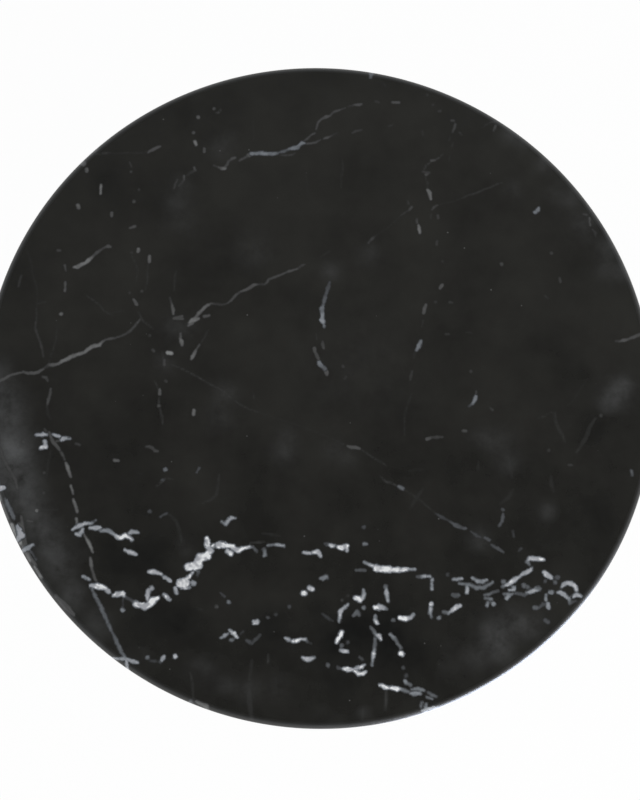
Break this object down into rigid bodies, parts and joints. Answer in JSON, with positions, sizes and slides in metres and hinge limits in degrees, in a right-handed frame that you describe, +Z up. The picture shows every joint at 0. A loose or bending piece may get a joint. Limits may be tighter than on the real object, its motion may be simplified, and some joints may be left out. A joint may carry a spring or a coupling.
{
  "type": "round pedestal table",
  "caption": "Round pedestal table: polished dark stone disc on a steel column, with a weighted disc foot and levelling glides.",
  "frame": {"origin": "on the floor, on the column's axis", "axes": "+Z up along the column's axis; +X and +Y lie in the floor along two neighbouring arms of the spider, with the glides midway between them"},
  "size_m": [0.6, 0.6, 0.75],
  "materials": {
    "marble": "satin",
    "adhesive": "matte",
    "plywood": "matte",
    "zinc_plated_steel": "satin",
    "coated_cast_iron": "matte",
    "powder_coated_steel": "satin",
    "plug_nylon": "matte",
    "edge_rubber": "matte",
    "raw_cast_iron": "matte",
    "foam": "matte",
    "glide_nylon": "matte"
  },
  "bodies": {
    "table": {"marble_top": "marble", "adhesive_dabs": "adhesive", "backing_disc": "plywood", "tee_nuts": "zinc_plated_steel", "spider": "coated_cast_iron", "top_washers": "zinc_plated_steel", "top_screws": "zinc_plated_steel", "column_tube": "powder_coated_steel", "tie_rod": "zinc_plated_steel", "rod_top_washer": "zinc_plated_steel", "rod_top_nut": "zinc_plated_steel", "rod_bottom_washer": "zinc_plated_steel", "rod_bottom_nut": "zinc_plated_steel", "centring_plug": "plug_nylon", "trim_collar": "powder_coated_steel", "base_cover": "powder_coated_steel", "edge_guard": "edge_rubber", "ballast_plate": "raw_cast_iron", "glide_inserts": "zinc_plated_steel", "foam_ring": "foam"},
    "glide_1_foot": {"glide_pad_1": "glide_nylon"},
    "glide_1_screw": {"glide_stem_1": "zinc_plated_steel"},
    "glide_2_foot": {"glide_pad_2": "glide_nylon"},
    "glide_2_screw": {"glide_stem_2": "zinc_plated_steel"},
    "glide_3_foot": {"glide_pad_3": "glide_nylon"},
    "glide_3_screw": {"glide_stem_3": "zinc_plated_steel"},
    "glide_4_foot": {"glide_pad_4": "glide_nylon"},
    "glide_4_screw": {"glide_stem_4": "zinc_plated_steel"}
  },
  "joints": [
    {"name": "glide_1_travel", "type": "slide", "parent": "table", "child": "glide_1_foot", "axis": [0, 0, -1], "range_m": [0, 0.0075]},
    {"name": "glide_1_turn", "type": "hinge", "parent": "glide_1_foot", "child": "glide_1_screw", "pos_m": [0.11879, 0.11879, 0.0063], "axis": [0, 0, -1], "range_deg": [0, 2160]},
    {"name": "glide_2_travel", "type": "slide", "parent": "table", "child": "glide_2_foot", "axis": [0, 0, -1], "range_m": [0, 0.0075]},
    {"name": "glide_2_turn", "type": "hinge", "parent": "glide_2_foot", "child": "glide_2_screw", "pos_m": [-0.11879, 0.11879, 0.0063], "axis": [0, 0, -1], "range_deg": [0, 2160]},
    {"name": "glide_3_travel", "type": "slide", "parent": "table", "child": "glide_3_foot", "axis": [0, 0, -1], "range_m": [0, 0.0075]},
    {"name": "glide_3_turn", "type": "hinge", "parent": "glide_3_foot", "child": "glide_3_screw", "pos_m": [-0.11879, -0.11879, 0.0063], "axis": [0, 0, -1], "range_deg": [0, 2160]},
    {"name": "glide_4_travel", "type": "slide", "parent": "table", "child": "glide_4_foot", "axis": [0, 0, -1], "range_m": [0, 0.0075]},
    {"name": "glide_4_turn", "type": "hinge", "parent": "glide_4_foot", "child": "glide_4_screw", "pos_m": [0.11879, -0.11879, 0.0063], "axis": [0, 0, -1], "range_deg": [0, 2160]}
  ],
  "couplings": [
    {"joint": "glide_1_travel", "follows": "glide_1_turn", "m_per_rad": 0.00019894},
    {"joint": "glide_2_travel", "follows": "glide_2_turn", "m_per_rad": 0.00019894},
    {"joint": "glide_3_travel", "follows": "glide_3_turn", "m_per_rad": 0.00019894},
    {"joint": "glide_4_travel", "follows": "glide_4_turn", "m_per_rad": 0.00019894}
  ]
}
